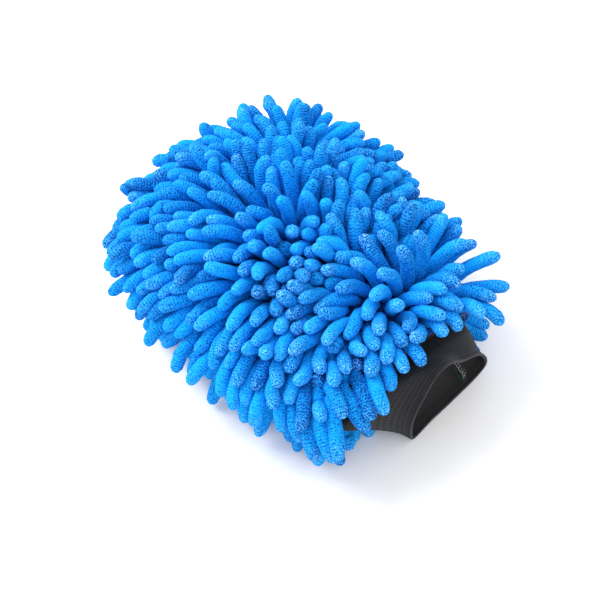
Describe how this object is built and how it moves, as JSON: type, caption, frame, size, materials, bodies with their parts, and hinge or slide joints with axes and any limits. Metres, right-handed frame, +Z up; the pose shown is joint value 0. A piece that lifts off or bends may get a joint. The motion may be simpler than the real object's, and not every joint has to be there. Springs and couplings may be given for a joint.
{
  "type": "wash mitt",
  "caption": "Double-sided chenille microfibre wash mitt with a hand pocket, a lining and a stretchy knitted elastic cuff.",
  "frame": {"origin": "on the table, under the middle of the whole mitt", "axes": "+Y towards the fingertip end, the cuff opens towards -Y, +Z up, +X across the hand"},
  "size_m": [0.1983, 0.2375, 0.0909],
  "materials": {
    "chenille": "matte",
    "backing_knit": "matte",
    "lining_mesh": "matte",
    "elastic_knit": "matte",
    "clear_thread": "glossy",
    "green_thread": "matte",
    "blue_thread": "matte"
  },
  "bodies": {
    "root": {"bottom_backing": "backing_knit", "bottom_lining": "lining_mesh", "bottom_noodles_row_01": "chenille", "bottom_noodles_row_02": "chenille", "bottom_noodles_row_03": "chenille", "bottom_noodles_row_04": "chenille", "bottom_noodles_row_05": "chenille", "bottom_noodles_row_06": "chenille", "bottom_noodles_row_07": "chenille", "bottom_noodles_row_08": "chenille", "bottom_noodles_row_09": "chenille", "bottom_noodles_row_10": "chenille", "bottom_noodles_row_11": "chenille", "bottom_noodles_row_12": "chenille", "bottom_noodles_row_13": "chenille", "bottom_noodles_row_14": "chenille", "bottom_noodles_row_15": "chenille", "bottom_noodles_row_16": "chenille", "bottom_noodles_row_17": "chenille", "bottom_noodles_row_18": "chenille", "bottom_noodles_row_19": "chenille", "bottom_noodles_row_20": "chenille", "bottom_noodles_row_21": "chenille", "bottom_noodles_row_22": "chenille", "bottom_row_stitching": "blue_thread", "cuff_edge": "elastic_knit", "cuff_join_seam": "clear_thread", "elastic_cuff": "elastic_knit", "join_thread_end": "green_thread", "perimeter_seam": "blue_thread", "top_backing": "backing_knit", "top_lining": "lining_mesh", "top_noodles_row_01": "chenille", "top_noodles_row_02": "chenille", "top_noodles_row_03": "chenille", "top_noodles_row_04": "chenille", "top_noodles_row_05": "chenille", "top_noodles_row_06": "chenille", "top_noodles_row_07": "chenille", "top_noodles_row_08": "chenille", "top_noodles_row_09": "chenille", "top_noodles_row_10": "chenille", "top_noodles_row_11": "chenille", "top_noodles_row_12": "chenille", "top_noodles_row_13": "chenille", "top_noodles_row_14": "chenille", "top_noodles_row_15": "chenille", "top_noodles_row_16": "chenille", "top_noodles_row_17": "chenille", "top_noodles_row_18": "chenille", "top_noodles_row_19": "chenille", "top_noodles_row_20": "chenille", "top_noodles_row_21": "chenille", "top_noodles_row_22": "chenille", "top_row_stitching": "blue_thread", "wrist_seam": "blue_thread"}
  },
  "joints": []
}
